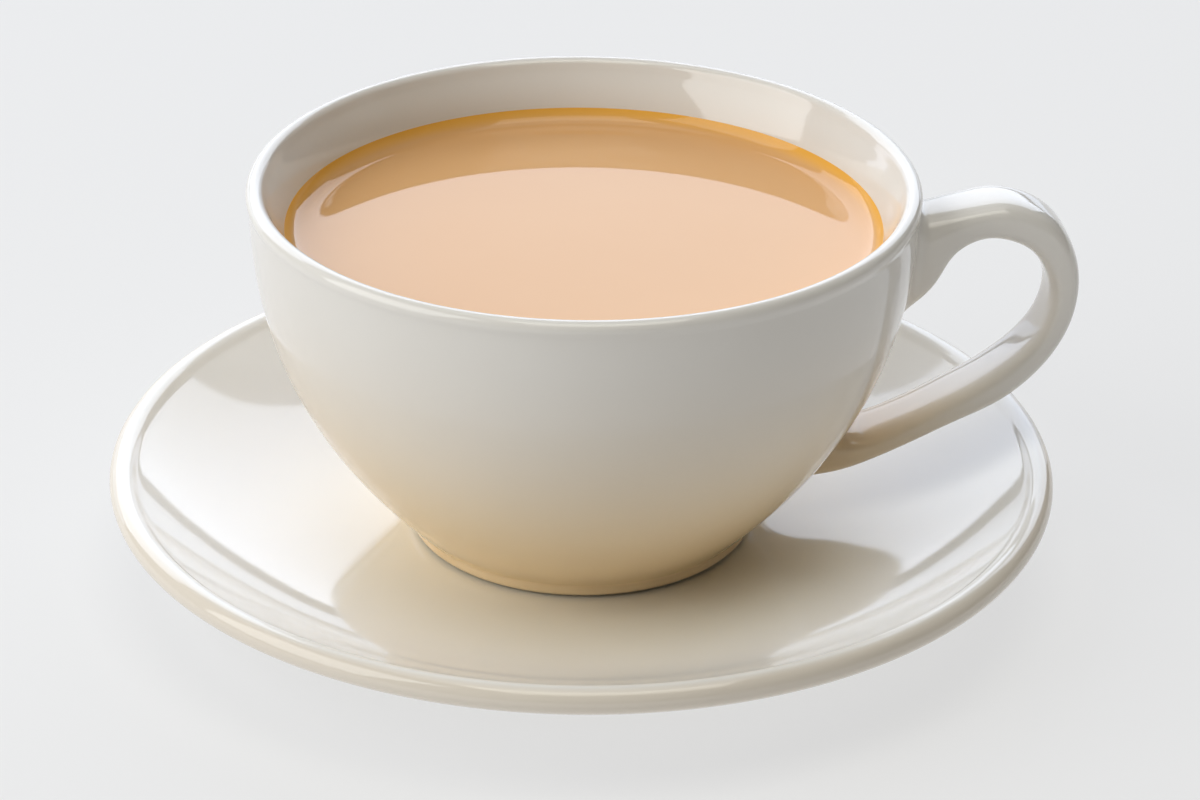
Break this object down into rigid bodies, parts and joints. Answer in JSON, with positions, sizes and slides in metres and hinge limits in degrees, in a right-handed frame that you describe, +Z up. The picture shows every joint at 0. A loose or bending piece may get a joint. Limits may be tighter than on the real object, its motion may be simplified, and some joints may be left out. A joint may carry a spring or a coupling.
{
  "type": "cup of tea with milk",
  "caption": "Thick-walled glazed cup with a looped strap handle, filled with milky tea, standing on its round dished saucer.",
  "frame": {"origin": "middle of the whole object seen from above, on the plane that it stands on. The axis that the cup and the saucer share stands 1.5 mm from it towards -X, because the handle reaches 3 mm past the saucer", "axes": "+Z up, along the axis of the cup, +X from that axis towards the handle, +Y square to both"},
  "size_m": [0.15, 0.147, 0.0648],
  "materials": {
    "glaze": "glossy warm white glaze",
    "tea": "smooth wet surface of milky tea"
  },
  "bodies": {
    "root": {"cup": "glaze", "saucer": "glaze", "tea": "tea"}
  },
  "joints": []
}
